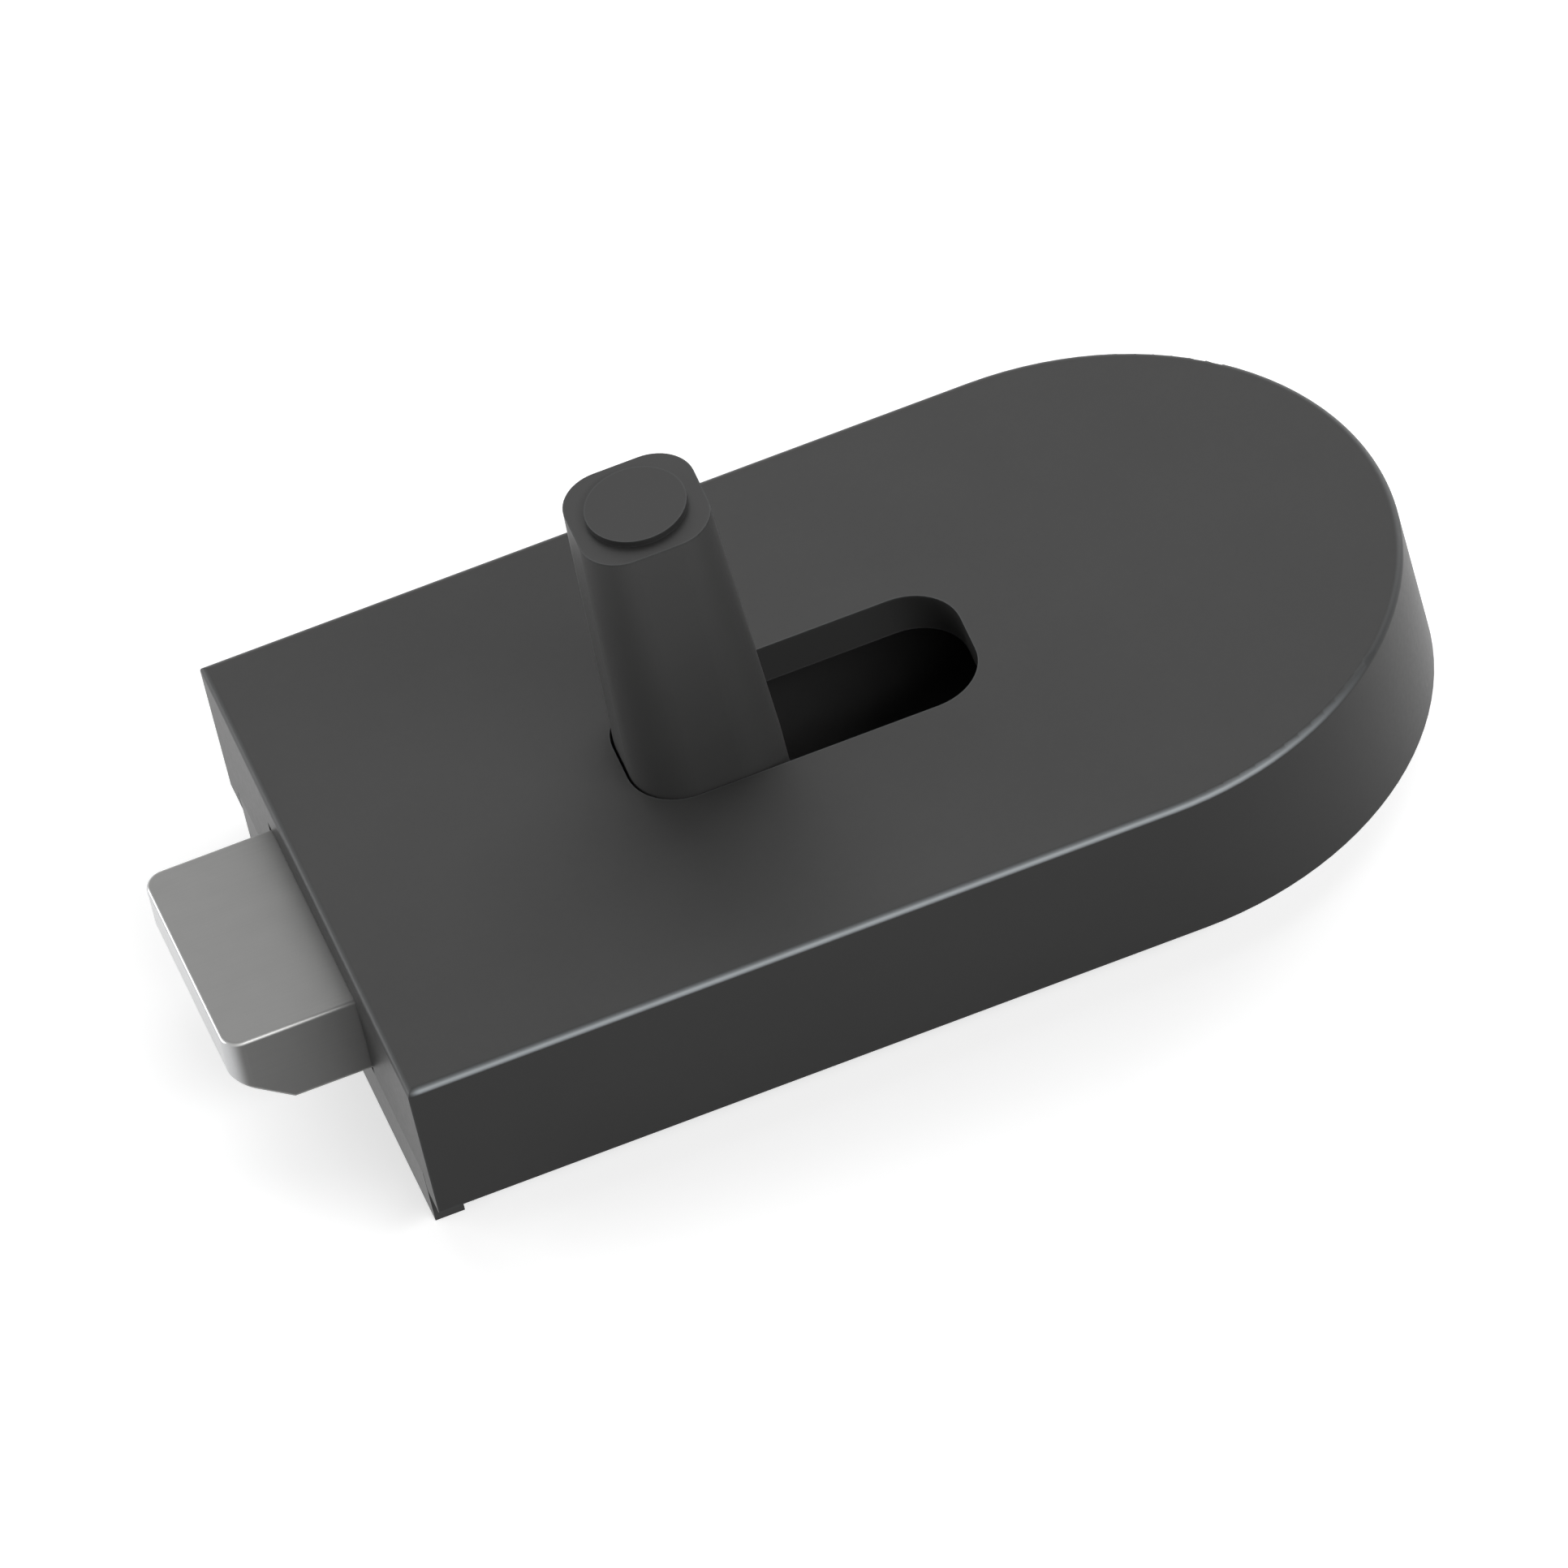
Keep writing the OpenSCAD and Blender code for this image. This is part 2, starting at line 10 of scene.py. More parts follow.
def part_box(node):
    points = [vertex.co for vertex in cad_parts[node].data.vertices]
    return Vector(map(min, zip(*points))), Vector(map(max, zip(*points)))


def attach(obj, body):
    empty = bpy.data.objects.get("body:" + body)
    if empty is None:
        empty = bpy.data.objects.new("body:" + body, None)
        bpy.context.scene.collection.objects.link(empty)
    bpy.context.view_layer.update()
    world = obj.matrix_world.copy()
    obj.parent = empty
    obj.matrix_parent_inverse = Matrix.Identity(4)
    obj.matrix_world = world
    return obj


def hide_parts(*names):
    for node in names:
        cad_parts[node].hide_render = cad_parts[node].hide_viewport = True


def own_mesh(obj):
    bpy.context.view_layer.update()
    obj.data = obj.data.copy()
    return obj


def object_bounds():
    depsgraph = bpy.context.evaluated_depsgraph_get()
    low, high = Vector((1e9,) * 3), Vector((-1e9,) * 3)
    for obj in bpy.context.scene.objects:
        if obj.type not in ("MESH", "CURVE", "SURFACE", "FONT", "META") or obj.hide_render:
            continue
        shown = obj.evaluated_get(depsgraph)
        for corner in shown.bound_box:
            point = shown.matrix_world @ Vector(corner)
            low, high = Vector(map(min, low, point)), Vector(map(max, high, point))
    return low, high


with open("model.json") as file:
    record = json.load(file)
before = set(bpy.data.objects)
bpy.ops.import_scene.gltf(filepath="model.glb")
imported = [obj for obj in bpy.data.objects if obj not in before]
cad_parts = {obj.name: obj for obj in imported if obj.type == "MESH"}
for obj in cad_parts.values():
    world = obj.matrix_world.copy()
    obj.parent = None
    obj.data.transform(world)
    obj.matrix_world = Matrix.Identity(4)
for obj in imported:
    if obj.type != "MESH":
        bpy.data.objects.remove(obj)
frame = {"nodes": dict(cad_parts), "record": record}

CAD_LOW, CAD_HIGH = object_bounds()
MM = 0.001

# The joint that the bolt and the knob slide on, and how far it goes
JOINT = frame["record"]["behaviour"]["joints"][0]
TRAVEL = JOINT["range_m"][1]

# The photograph is a parallel view. Its camera is turned about X, Y and Z, in degrees
VIEW_TURN = (44.711, 10.752, -18.259)
# The point in the middle of the picture, and the width that the picture shows
VIEW_POINT = Vector((-4.67, -11.47, 15.45)) * MM
VIEW_WIDTH = 104.32 * MM
# How far the camera stands from that point, and between which distances it sees
VIEW_DISTANCE = 0.5
VIEW_NEAR, VIEW_FAR = 0.01, 10

# The floor lies at the lowest point of the lip.
# Where the camera or a reflection sees it, the glow is added, so that it shows white round its shadow.
FLOOR_HALF = 3.0
FLOOR_COLOR = (0.8, 0.8, 0.8, 1)
FLOOR_GLOW = 0.58
WHITE = (1, 1, 1, 1)

# Soft panels: azimuth and elevation in degrees, width and height, then brightness.
# Azimuth 0 is the round end's side, 90 the front, 180 the bolt's side and 270 the back.
PANEL_DISTANCE = 0.9
PANELS = {
    "front_panel": (65, 38, 0.8, 0.16, 11.4),
    "back_left_panel": (208, 8, 0.7, 0.5, 5.4),
    "back_panel": (270, 8, 0.6, 0.5, 2.5),
    "back_right_panel": (315, 8, 0.6, 0.5, 4.0),
    "high_back_panel": (300, 50, 1.2, 1.0, 1.2),
}
# The even light from all sides, where 1 is that of a white surround
WORLD_LEVEL = 0.04

# Base colours, as linear values
COVER_GREY = (0.0275, 0.0275, 0.0272)
# Painted light and shade: the cover's top is painted lighter than its walls, the knob's walls lighter
# than its top, and the cap's top darker than its walls
COVER_TOP_PAINTED_LIGHTER = (0.043, 0.043, 0.0425)
# Painted light on the slot's walls
SLOT_WALLS_PAINTED_LIGHT = (0.047, 0.047, 0.0465)
KNOB_WALLS_PAINTED_LIGHTER = (0.055, 0.055, 0.0545)
KNOB_TOP_GREY = (0.034, 0.034, 0.0337)
CAP_TOP_PAINTED_DARKER = (0.029, 0.029, 0.0287)
# Real edge wear, and also the painted highlight along the cover's top rounding
WORN_AND_HIGHLIGHT_PLASTIC = (0.41, 0.44, 0.46)
PLATE_GREY = (0.036, 0.036, 0.0357)
BOLT_GREY = (0.14, 0.14, 0.138)
ROD_GREY = (0.42, 0.42, 0.42)
SPRING_GREY = (0.34, 0.34, 0.34)
ZINC_GREY = (0.42, 0.43, 0.45)
# Real edge wear, and also the painted highlight along the bolt's top rounding
WORN_AND_HIGHLIGHT_STEEL = (0.63, 0.63, 0.62)
# The nose's polish, brightened as a painted reflection
POLISH_AND_REFLECTION_STEEL = (0.435, 0.44, 0.445)
SCREW_BLACK = (0.012, 0.012, 0.013)
GUIDE_BLACK = (0.011, 0.011, 0.011)
RUBBER_BLACK = (0.008, 0.008, 0.008)
BRASS = (0.46, 0.31, 0.10)

# Most values of a noise lie between these two
NOISE_LOW, NOISE_HIGH = 0.3, 0.7

# Sharp edges wear where the normal, rounded over a small radius, turns from the surface's own:
# 1 less the two normals' dot product where wear starts, and where it is full
EDGE_START, EDGE_FULL = 0.02, 0.2
EDGE_SAMPLES = 4

# A painted highlight on a rounded top edge lies in a band, in depths below the top as shares of the
# rounding's radius.
# It sets in gently or quickly over the first, stays, and fades out between the last two
GENTLE_RISE, QUICK_RISE = 0.38, 0.08
BAND_FADE, BAND_END = 0.46, 0.95

# Nylon's sheen, and how much more matt the cover's top is than its walls
NYLON_ROUGHNESS = 0.4
COVER_TOP_MATT = 0.22
# A moulding's top gets a grey of its own, painted light and shade for how the light falls on it: depths
# below the top where it starts, and where it is full
PAINTED_TOP_START, PAINTED_TOP_FULL = 0.2 * MM, 0.01 * MM

# The cover's top rounding has a painted highlight along the front, lighter and smoother.
# That fades between two angles round the end, and the rest of the rounding has only the least of it
TOP_ROUNDING = 0.5 * MM
HIGHLIGHT_START, HIGHLIGHT_END = math.radians(5), math.radians(52)
LEAST_HIGHLIGHT = 0.06
HIGHLIGHT_SMOOTHING = 0.12
# Distances inside the cover's outline where its rim starts, and where it is full
RIM_START, RIM_FULL = 3 * TOP_ROUNDING, 2 * TOP_ROUNDING

# The slot's walls are painted a little lighter, painted light in the slot's shade, and less over the
# last stretch.
# The reach is from the foot to just inside the walls, and past it the painted light ends over the margin
SLOT_REACH, SLOT_MARGIN = 0.3 * MM, 0.1 * MM
SLOT_FADE = 7 * MM
# Depths below the cover's top where it starts, and where it is full
SLOT_LIGHT_START, SLOT_LIGHT_FULL = 0.02 * MM, 0.1 * MM

# Ground steel's lines run along X: cells of noise per metre along X, Y and Z
GROUND_LINES = (60, 7000, 7000)
# The bolt is polished where it faces forward, and brightened there as a painted reflection: the x part
# of the normal where it starts, and is full
POLISH_AND_REFLECTION_START, POLISH_AND_REFLECTION_FULL = -0.15, -0.9
# The bolt's top rounding has a painted highlight, strongest near the nose, and least towards the cover
BOLT_ROUNDING = 0.28 * MM
EDGE_HIGHLIGHT_START, EDGE_HIGHLIGHT_END = 2 * MM, 9 * MM
EDGE_HIGHLIGHT, LEAST_EDGE_HIGHLIGHT = 0.68, 0.1

# The springs' wire, turns and sections, and the step of their closed end turns in wire widths
WIRE_RADIUS = 0.225 * MM
COIL_TURNS = 13
RINGS_PER_TURN = 32
WIRE_SIDES = 10
CLOSED_PITCH = 1.03


class Nodes:
    """A material's node tree, with short calls for the nodes used here."""

    def __init__(self, name):
        self.material = bpy.data.materials.new(name)
        self.material.use_nodes = True
        self.tree = self.material.node_tree
        self.tree.nodes.clear()
        self.output = self.tree.nodes.new("ShaderNodeOutputMaterial")
        self.coordinates = self.tree.nodes.new("ShaderNodeTexCoord")

    def link(self, source, target):
        self.tree.links.new(source, target)

    def noise(self, scale, detail, place=None):
        """Noise with the given number of cells per metre, and of finer layers."""
        node = self.tree.nodes.new("ShaderNodeTexNoise")
        node.inputs["Scale"].default_value = scale
        node.inputs["Detail"].default_value = detail
        self.link(place or self.coordinates.outputs["Object"], node.inputs["Vector"])
        return node.outputs["Fac"]

    def ground_lines(self):
        """Noise drawn out into fine lines."""
        node = self.tree.nodes.new("ShaderNodeMapping")
        node.inputs["Scale"].default_value = GROUND_LINES
        self.link(self.coordinates.outputs["Object"], node.inputs["Vector"])
        return self.noise(scale=1, detail=3, place=node.outputs["Vector"])

    def range(self, value, start, end, low=0.0, high=1.0, shape="SMOOTHSTEP"):
        """Goes from low to high while the value goes from start to end."""
        node = self.tree.nodes.new("ShaderNodeMapRange")
        node.interpolation_type = shape
        node.inputs["From Min"].default_value = start
        node.inputs["From Max"].default_value = end
        node.inputs["To Min"].default_value = low
        node.inputs["To Max"].default_value = high
        self.link(value, node.inputs["Value"])
        return node.outputs["Result"]

    def uneven(self, level, spread, scale, detail):
        """A number that noise moves up and down by the spread."""
        value = self.noise(scale, detail)
        return self.range(value, 0, 1, level - spread, level + spread, shape="LINEAR")

    def clouded(self, value, color, spread):
        """A colour made darker and lighter by a noise's value, by the spread as a share of it."""
        node = self.tree.nodes.new("ShaderNodeValToRGB")
        ends = ((NOISE_LOW, 1 - spread), (NOISE_HIGH, 1 + spread))
        for element, (position, factor) in zip(node.color_ramp.elements, ends):
            element.position = position
            element.color = (*(part * factor for part in color), 1)
        self.link(value, node.inputs["Fac"])
        return node.outputs["Color"]

    def mixed(self, amount, first, second):
        """The first colour at 0, the second at 1, which is linked or a fixed colour."""
        node = self.tree.nodes.new("ShaderNodeMix")
        node.data_type = "RGBA"
        self.link(amount, node.inputs["Factor"])
        self.link(first, node.inputs["A"])
        if isinstance(second, tuple):
            node.inputs["B"].default_value = (*second, 1)
        else:
            self.link(second, node.inputs["B"])
        return node.outputs["Result"]

    def math(self, operation, first, second=0.0):
        """Sum, root or the like of one value or two, the second one linked or a number."""
        node = self.tree.nodes.new("ShaderNodeMath")
        node.operation = operation
        self.link(first, node.inputs[0])
        if isinstance(second, float):
            node.inputs[1].default_value = second
        else:
            self.link(second, node.inputs[1])
        return node.outputs["Value"]

    def times(self, first, *others):
        """The product of several values, all but the first linked or numbers."""
        for other in others:
            first = self.math("MULTIPLY", first, other)
        return first

    def most(self, first, second):
        """The larger of two values."""
        return self.math("MAXIMUM", first, second)

    def axes(self, coordinate="Object"):
        """The three parts of the object coordinates, or of the object normal."""
        parts = self.tree.nodes.new("ShaderNodeSeparateXYZ")
        self.link(self.coordinates.outputs[coordinate], parts.inputs["Vector"])
        return parts.outputs["X"], parts.outputs["Y"], parts.outputs["Z"]

    def worn_edges(self, radius):
        """1 along sharp edges, 0 on flat and gently curved surfaces."""
        rounded = self.tree.nodes.new("ShaderNodeBevel")
        rounded.samples = EDGE_SAMPLES
        rounded.inputs["Radius"].default_value = radius
        flat = self.tree.nodes.new("ShaderNodeNewGeometry")
        dot = self.tree.nodes.new("ShaderNodeVectorMath")
        dot.operation = "DOT_PRODUCT"
        self.link(rounded.outputs["Normal"], dot.inputs[0])
        self.link(flat.outputs["Normal"], dot.inputs[1])
        return self.range(dot.outputs["Value"], 1 - EDGE_START, 1 - EDGE_FULL)

    def rounding_band(self, z, top, radius, rise):
        """1 on the middle of a rounded top edge, 0 on the top and on the walls."""
        upper = self.range(z, top, top - rise * radius, shape="LINEAR")
        lower = self.range(z, top - BAND_END * radius, top - BAND_FADE * radius)
        return self.times(upper, lower)

    def highlight_rim(self, low, high):
        """Where the highlight is painted: 1 along the front's top rounding, fading round the end, and a
        little on the rest of it.
        """
        x, y, z = self.axes()
        radius = (high.y - low.y) / 2
        along = self.most(self.math("SUBTRACT", x, high.x - radius), 0.0)
        squares = self.math("ADD", self.times(along, along), self.times(y, y))
        rim = self.range(self.math("SQRT", squares), radius - RIM_START, radius - RIM_FULL)
        flat_end = self.range(x, low.x + RIM_START, low.x + RIM_FULL)
        turned = self.math("ARCTAN2", along, self.times(y, -1.0))
        front = self.times(
            rim,
            self.range(turned, HIGHLIGHT_START, HIGHLIGHT_END, 1.0, 0.0),
            self.range(x, low.x, low.x + RIM_FULL),
            self.rounding_band(z, high.z, TOP_ROUNDING, GENTLE_RISE),
        )
        rest = self.times(
            self.most(rim, flat_end),
            LEAST_HIGHLIGHT,
            self.rounding_band(z, high.z, TOP_ROUNDING, QUICK_RISE),
        )
        return self.most(front, rest)

    def painted_light_slot(self, top):
        """Where the slot's walls are painted lighter: 1 on the slot's walls, fading to 0 at its far end,
        and 0 elsewhere.
        """
        x, y, z = self.axes()
        low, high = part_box("knob")
        start, end = low.x - SLOT_REACH, high.x + TRAVEL + SLOT_REACH
        half = high.y + SLOT_REACH
        return self.times(
            self.range(self.math("ABSOLUTE", y), half + SLOT_MARGIN, half),
            self.range(x, start - SLOT_MARGIN, start),
            self.range(x, end, end - SLOT_FADE),
            self.range(z, top - SLOT_LIGHT_START, top - SLOT_LIGHT_FULL),
        )

    def bump(self, height, depth, normal=None):
        """Bumps of the given depth in metres, on the surface or on top of other bumps."""
        node = self.tree.nodes.new("ShaderNodeBump")
        node.inputs["Distance"].default_value = depth
        self.link(height, node.inputs["Height"])
        if normal:
            self.link(normal, node.inputs["Normal"])
        return node.outputs["Normal"]

    def surface(self, color, roughness, normal, metallic=0.0, specular=0.5):
        """Ends the material with its surface shader: three linked inputs and two fixed numbers."""
        node = self.tree.nodes.new("ShaderNodeBsdfPrincipled")
        node.inputs["Metallic"].default_value = metallic
        node.inputs["Specular IOR Level"].default_value = specular
        self.link(color, node.inputs["Base Color"])
        self.link(roughness, node.inputs["Roughness"])
        self.link(normal, node.inputs["Normal"])
        self.link(node.outputs["BSDF"], self.output.inputs["Surface"])
        return self.material


def moulded_plastic(node, name, walls, top, top_matt=0.0, painted_rim_and_slot=False):
    """Moulded nylon: fine spark-eroded grain, slow tone changes and worn edges.

    The flat top and the walls get different greys, painted light and shade for how the light falls on
    them, and the top can be more matt than the walls.
    """
    n = Nodes(name)
    low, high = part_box(node)
    # Painted light and shade: the top gets its own grey, lighter or darker than the walls
    painted_top = n.range(n.axes()[2], high.z - PAINTED_TOP_START, high.z - PAINTED_TOP_FULL)
    tone = n.noise(scale=160, detail=3)
    base = n.mixed(painted_top, n.clouded(tone, walls, spread=0.03), n.clouded(tone, top, spread=0.03))
    rough = n.uneven(NYLON_ROUGHNESS, spread=0.04, scale=2600, detail=2)
    rough = n.math("ADD", rough, n.times(painted_top, top_matt))
    patches = n.uneven(0.08, spread=0.06, scale=900, detail=3)
    worn = n.times(n.worn_edges(radius=0.25 * MM), patches)
    if painted_rim_and_slot:
        # Painted highlight along the cover's front top rounding, lighter and smoother
        rim = n.times(n.highlight_rim(low, high), n.uneven(1, spread=0.15, scale=420, detail=3))
        rough = n.math("SUBTRACT", rough, n.times(rim, HIGHLIGHT_SMOOTHING))
        # Painted light on the slot's walls, lighter than the shade there
        base = n.mixed(n.painted_light_slot(high.z), base, SLOT_WALLS_PAINTED_LIGHT)
        # Real edge wear together with the painted highlight
        worn = n.most(rim, worn)
    return n.surface(
        color=n.mixed(worn, base, WORN_AND_HIGHLIGHT_PLASTIC),
        roughness=rough,
        normal=n.bump(n.noise(scale=5200, detail=2), depth=1.1e-6),
        specular=0.2,
    )


def powder_coat(name, color):
    """Powder-coated steel: a soft orange-peel surface with a fine grain in it."""
    n = Nodes(name)
    peel = n.bump(n.noise(scale=1400, detail=2), depth=3e-6)
    return n.surface(
        color=n.clouded(n.noise(scale=300, detail=3), color, spread=0.04),
        roughness=n.uneven(0.38, spread=0.04, scale=2000, detail=2),
        normal=n.bump(n.noise(scale=6000, detail=2), depth=1e-6, normal=peel),
        specular=0.3,
    )


def ground_steel(name, color, roughness):
    """Ground steel: fine lines along the part, a little uneven sheen, and brighter worn edges."""
    n = Nodes(name)
    lines = n.ground_lines()
    patches = n.uneven(0.55, spread=0.25, scale=1200, detail=3)
    worn = n.times(n.worn_edges(radius=0.3 * MM), patches)
    return n.surface(
        color=n.mixed(worn, n.clouded(lines, color, spread=0.02), WORN_AND_HIGHLIGHT_STEEL),
        roughness=n.uneven(roughness, spread=0.04, scale=500, detail=3),
        normal=n.bump(lines, depth=2.5e-7),
        metallic=1.0,
    )


def latch_steel(name, color, roughness, polished):
    """The bolt's ground steel, polished by the keeper on the nose and brightened there as a painted
    reflection, with a painted highlight along the top edges.
    """
    n = Nodes(name)
    low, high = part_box("bolt")
    x, _, z = n.axes()
    forward = n.axes("Normal")[0]
    lines = n.ground_lines()
    # Polish and painted reflection where the nose faces forward
    nose = n.range(forward, POLISH_AND_REFLECTION_START, POLISH_AND_REFLECTION_FULL)
    base = n.mixed(nose, n.clouded(lines, color, spread=0.015), POLISH_AND_REFLECTION_STEEL)
    patches = n.uneven(0.7, spread=0.2, scale=1200, detail=3)
    worn = n.times(n.worn_edges(radius=0.3 * MM), patches)
    # Painted highlight along the bolt's top rounding
    edge = n.times(
        n.rounding_band(z, high.z, BOLT_ROUNDING, GENTLE_RISE),
        n.range(x, low.x + EDGE_HIGHLIGHT_START, low.x + EDGE_HIGHLIGHT_END, EDGE_HIGHLIGHT, LEAST_EDGE_HIGHLIGHT),
        n.range(forward, POLISH_AND_REFLECTION_FULL, POLISH_AND_REFLECTION_START),
    )
    rough = n.uneven(roughness, spread=0.03, scale=500, detail=3)
    return n.surface(
        # Real worn edges together with the painted highlight
        color=n.mixed(n.most(worn, edge), base, WORN_AND_HIGHLIGHT_STEEL),
        roughness=n.math("SUBTRACT", rough, n.times(nose, roughness - polished)),
        normal=n.bump(lines, depth=1.2e-7),
        metallic=1.0,
    )


def plated_metal(name, color, roughness):
    """Plated or turned metal: clouded tone and a fine even texture."""
    n = Nodes(name)
    return n.surface(
        color=n.clouded(n.noise(scale=900, detail=4), color, spread=0.1),
        roughness=n.uneven(roughness, spread=0.06, scale=2200, detail=3),
        normal=n.bump(n.noise(scale=9000, detail=2), depth=5e-7),
        metallic=1.0,
    )


def dull_black(name, color, roughness, grain, depth):
    """Black rubber, acetal or oxide: faint mottling and a fine grain."""
    n = Nodes(name)
    return n.surface(
        color=n.clouded(n.noise(scale=700, detail=3), color, spread=0.2),
        roughness=n.uneven(roughness, spread=0.05, scale=1800, detail=2),
        normal=n.bump(n.noise(scale=grain, detail=2), depth),
        specular=0.3,
    )


def dress(material, *nodes):
    """Gives CAD nodes their material."""
    for name in nodes:
        for slot in frame["nodes"][name].material_slots:
            slot.material = material


def dress_plastics():
    """The cover, the knob and its cap, and the black pieces inside."""
    cover = moulded_plastic(
        "cover", "cover_nylon", COVER_GREY, COVER_TOP_PAINTED_LIGHTER, top_matt=COVER_TOP_MATT, painted_rim_and_slot=True
    )
    dress(cover, "cover")
    # The knob's walls are painted lighter than its top, and the cap's top is painted darker than its
    # walls
    dress(moulded_plastic("knob", "knob_nylon", KNOB_WALLS_PAINTED_LIGHTER, KNOB_TOP_GREY), "knob")
    dress(moulded_plastic("knob_cap", "cap_nylon", KNOB_TOP_GREY, CAP_TOP_PAINTED_DARKER), "knob_cap")
    acetal = dull_black("guide_acetal", GUIDE_BLACK, roughness=0.4, grain=5000, depth=8e-7)
    dress(acetal, "front_guide", "rear_block", "carrier")
    rubber = dull_black("buffer_rubber", RUBBER_BLACK, roughness=0.7, grain=4000, depth=2e-6)
    dress(rubber, "left_buffer", "right_buffer")


def dress_metals():
    """The base plate, the bolt, and the rods, screws and other small metal pieces."""
    dress(powder_coat("plate_coat", PLATE_GREY), "base_plate")
    dress(latch_steel("bolt_ground", BOLT_GREY, roughness=0.5, polished=0.22), "bolt")
    rods = ground_steel("rod_ground", ROD_GREY, roughness=0.25)
    dress(rods, "left_guide_rod", "right_guide_rod", "carrier_dowels")
    zinc = plated_metal("zinc_plate", ZINC_GREY, roughness=0.34)
    dress(zinc, "mounting_bushes", "cover_screws", "spring_washers")
    dress(plated_metal("sleeve_turned", BRASS, roughness=0.3), "knob_sleeve")
    oxide = dull_black("screw_oxide", SCREW_BLACK, roughness=0.45, grain=7000, depth=8e-7)
    dress(oxide, "knob_screw")


def coil_mesh(name, low, high):
    """A spring's wire between two corners of its box, with one closed turn at each end."""
    radius = (high.z - low.z) / 2 - WIRE_RADIUS
    middle_y, middle_z = (low.y + high.y) / 2, (low.z + high.z) / 2
    start, end = low.x + WIRE_RADIUS, high.x - WIRE_RADIUS
    closed = CLOSED_PITCH * WIRE_RADIUS * 2
    pitch = (end - start - 2 * closed) / (COIL_TURNS - 2)
    rings = COIL_TURNS * RINGS_PER_TURN
    points, faces = [], []
    for ring in range(rings + 1):
        turn = ring / RINGS_PER_TURN
        first = min(turn, 1)
        last = max(turn - (COIL_TURNS - 1), 0)
        x = start + closed * (first + last) + pitch * (turn - first - last)
        angle = 2 * math.pi * turn
        out = Vector((0, math.cos(angle), math.sin(angle)))
        for corner in range(WIRE_SIDES):
            side = 2 * math.pi * corner / WIRE_SIDES
            point = out * (radius + WIRE_RADIUS * math.cos(side))
            points.append((x + WIRE_RADIUS * math.sin(side), middle_y + point.y, middle_z + point.z))
    for ring in range(rings):
        for corner in range(WIRE_SIDES):
            here = ring * WIRE_SIDES + corner
            beside = ring * WIRE_SIDES + (corner + 1) % WIRE_SIDES
            faces.append((here, beside, beside + WIRE_SIDES, here + WIRE_SIDES))
    faces.append(tuple(range(WIRE_SIDES))[::-1])
    faces.append(tuple(rings * WIRE_SIDES + corner for corner in range(WIRE_SIDES)))
    mesh = bpy.data.meshes.new(name)
    mesh.from_pydata(points, [], faces)
    mesh.polygons.foreach_set("use_smooth", [True] * len(faces))
    return mesh


def make_springs():
    """The two springs as wound wire, fixed to the housing."""
    wire = plated_metal("spring_wire", SPRING_GREY, roughness=0.3)
    for entry in JOINT["deforming_nodes"]:
        node, anchor = entry["node"], entry["fixed_end_x_m"]
        low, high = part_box(node)
        piece = bpy.data.objects.new(node + "_coil", coil_mesh(node + "_coil", low, high))
        bpy.context.scene.collection.objects.link(piece)
        piece.data.materials.append(wire)
        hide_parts(node)
        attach(piece, "housing")
        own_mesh(piece)


def shown_rays(tree):
    """1 for what the camera sees, and for what metal and gloss mirror, else 0."""
    paths = tree.nodes.new("ShaderNodeLightPath")
    seen = paths.outputs["Is Camera Ray"]
    for kind in ("Is Glossy Ray", "Is Transmission Ray"):
        most = tree.nodes.new("ShaderNodeMath")
        most.operation = "MAXIMUM"
        tree.links.new(seen, most.inputs[0])
        tree.links.new(paths.outputs[kind], most.inputs[1])
        seen = most.outputs["Value"]
    return seen


def floor_white():
    """A pale floor that shows white where no shadow falls on it."""
    n = Nodes("floor_white")
    diffuse = n.tree.nodes.new("ShaderNodeBsdfDiffuse")
    diffuse.inputs["Color"].default_value = FLOOR_COLOR
    glow = n.tree.nodes.new("ShaderNodeEmission")
    glow.inputs["Color"].default_value = WHITE
    n.link(n.times(shown_rays(n.tree), FLOOR_GLOW), glow.inputs["Strength"])
    both = n.tree.nodes.new("ShaderNodeAddShader")
    n.link(diffuse.outputs["BSDF"], both.inputs[0])
    n.link(glow.outputs["Emission"], both.inputs[1])
    n.link(both.outputs["Shader"], n.output.inputs["Surface"])
    return n.material


def make_floor():
    """A plain floor under the part, which keeps its shadow."""
    z = CAD_LOW.z
    corners = [(x * FLOOR_HALF, y * FLOOR_HALF, z) for x, y in ((-1, -1), (1, -1), (1, 1), (-1, 1))]
    mesh = bpy.data.meshes.new("floor")
    mesh.from_pydata(corners, [], [(0, 1, 2, 3)])
    mesh.materials.append(floor_white())
    floor = bpy.data.objects.new("floor", mesh)
    bpy.context.scene.collection.objects.link(floor)


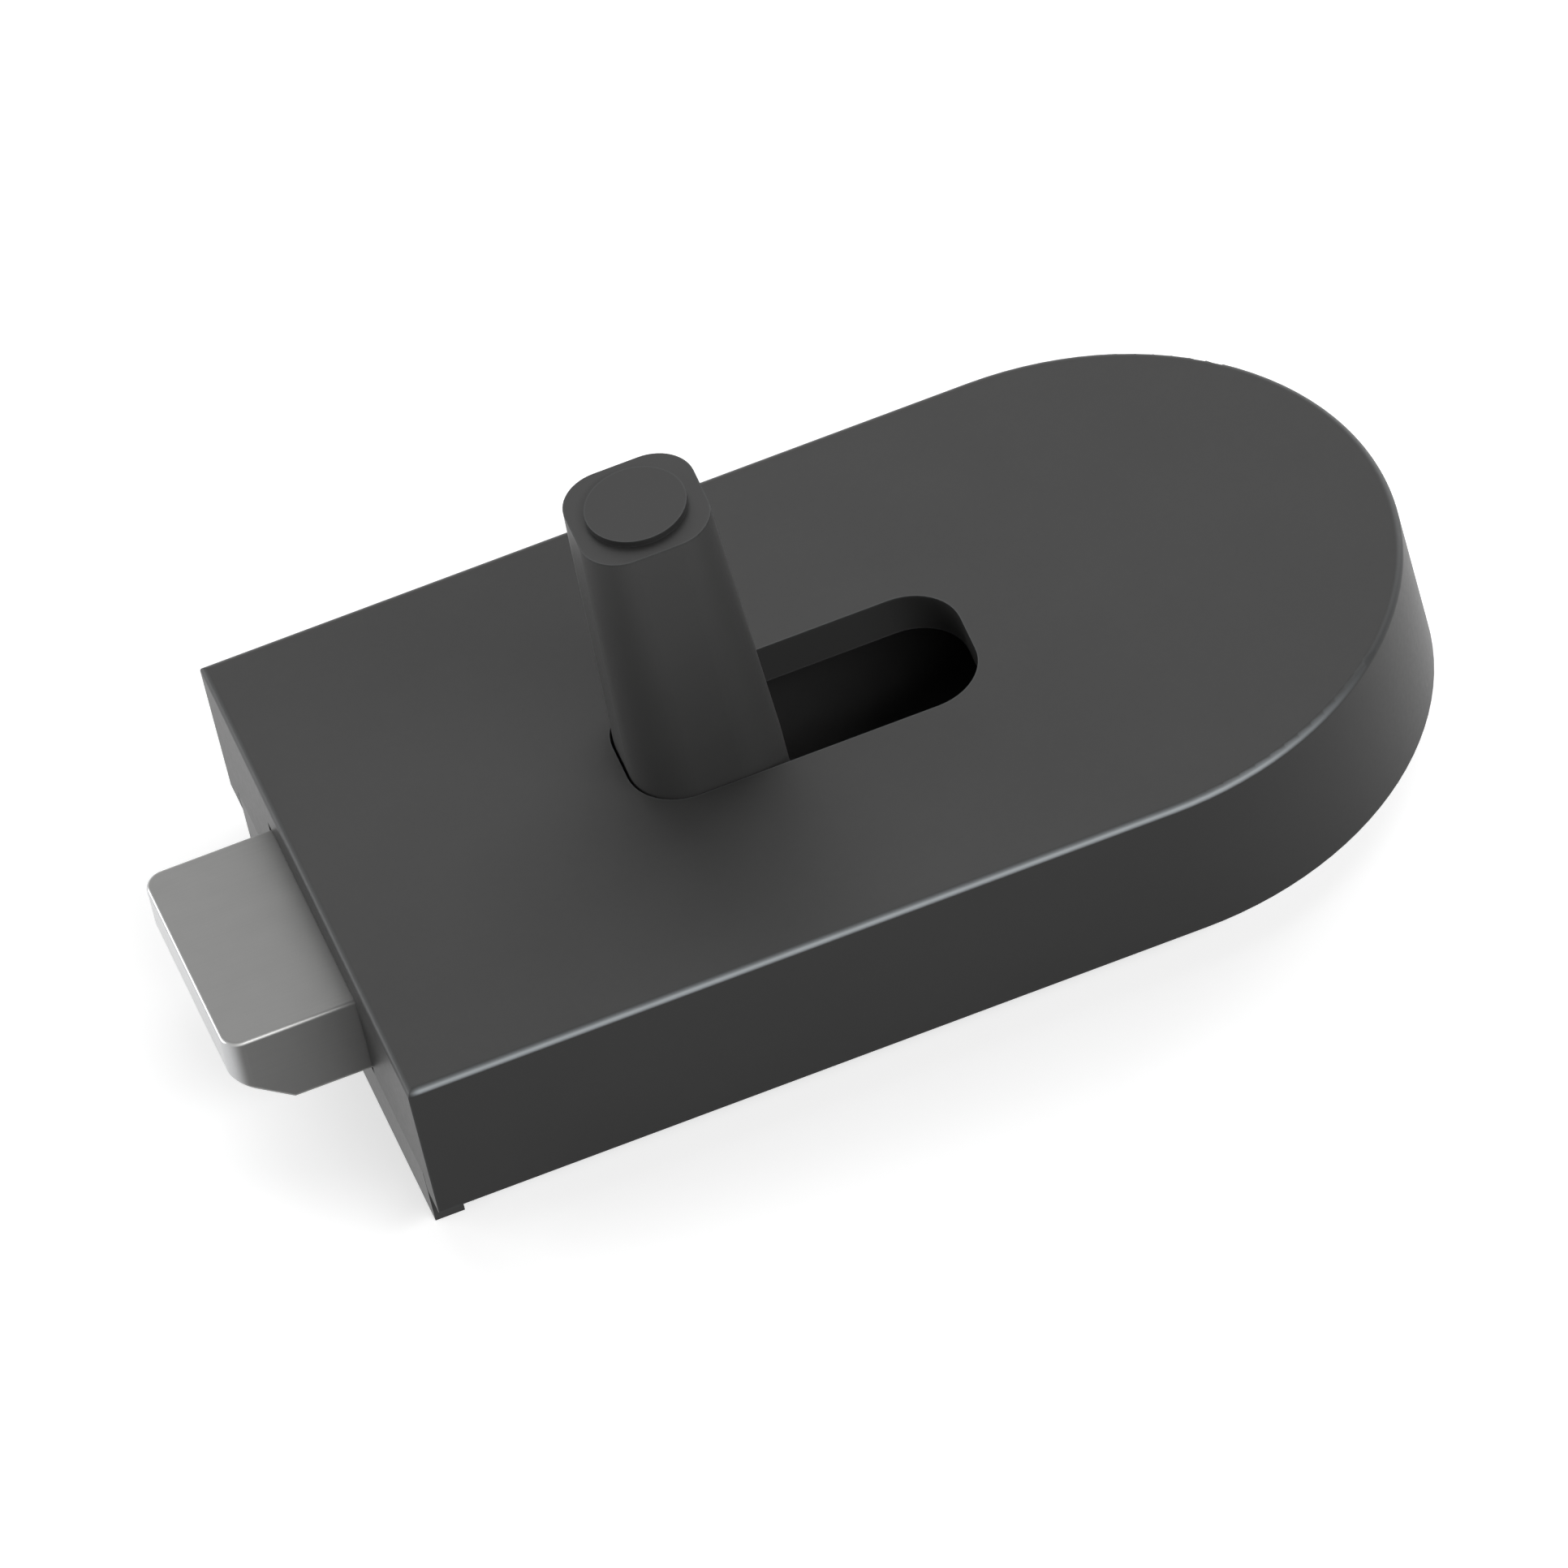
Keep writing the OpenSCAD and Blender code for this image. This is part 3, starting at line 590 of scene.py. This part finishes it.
def make_world():
    """A white background for the camera and for reflections, and a faint even light."""
    world = bpy.data.worlds.new("studio")
    bpy.context.scene.world = world
    world.use_nodes = True
    tree = world.node_tree
    tree.nodes.clear()
    output = tree.nodes.new("ShaderNodeOutputWorld")
    mix = tree.nodes.new("ShaderNodeMixShader")
    light = tree.nodes.new("ShaderNodeBackground")
    white = tree.nodes.new("ShaderNodeBackground")
    light.inputs["Color"].default_value = WHITE
    light.inputs["Strength"].default_value = WORLD_LEVEL
    white.inputs["Color"].default_value = WHITE
    tree.links.new(shown_rays(tree), mix.inputs["Fac"])
    tree.links.new(light.outputs["Background"], mix.inputs[1])
    tree.links.new(white.outputs["Background"], mix.inputs[2])
    tree.links.new(mix.outputs["Shader"], output.inputs["Surface"])


def make_panel(name, azimuth, elevation, width, height, brightness):
    """A soft rectangular lamp that faces the part; a brightness of 1 is that of white paper."""
    across, up = math.radians(azimuth), math.radians(elevation)
    direction = Vector((math.cos(across) * math.cos(up), -math.sin(across) * math.cos(up), math.sin(up)))
    data = bpy.data.lights.new(name, "AREA")
    data.shape = "RECTANGLE"
    data.size = width
    data.size_y = height
    data.energy = brightness * width * height * math.pi
    lamp = bpy.data.objects.new(name, data)
    lamp.location = direction * PANEL_DISTANCE
    lamp.rotation_euler = (-direction).to_track_quat("-Z", "Y").to_euler()
    bpy.context.scene.collection.objects.link(lamp)


def make_camera():
    """The photograph's parallel camera."""
    data = bpy.data.cameras.new("camera")
    data.type = "ORTHO"
    data.ortho_scale = VIEW_WIDTH
    data.clip_start = VIEW_NEAR
    data.clip_end = VIEW_FAR
    camera = bpy.data.objects.new("camera", data)
    turn = Euler([math.radians(angle) for angle in VIEW_TURN]).to_matrix().to_4x4()
    back_off = Matrix.Translation((0, 0, VIEW_DISTANCE))
    camera.matrix_world = Matrix.Translation(VIEW_POINT) @ turn @ back_off
    bpy.context.scene.collection.objects.link(camera)
    bpy.context.scene.camera = camera


dress_plastics()
dress_metals()
make_springs()
make_floor()
make_world()
for name, setting in PANELS.items():
    make_panel(name, *setting)
make_camera()
bpy.context.scene.view_settings.view_transform = "Standard"
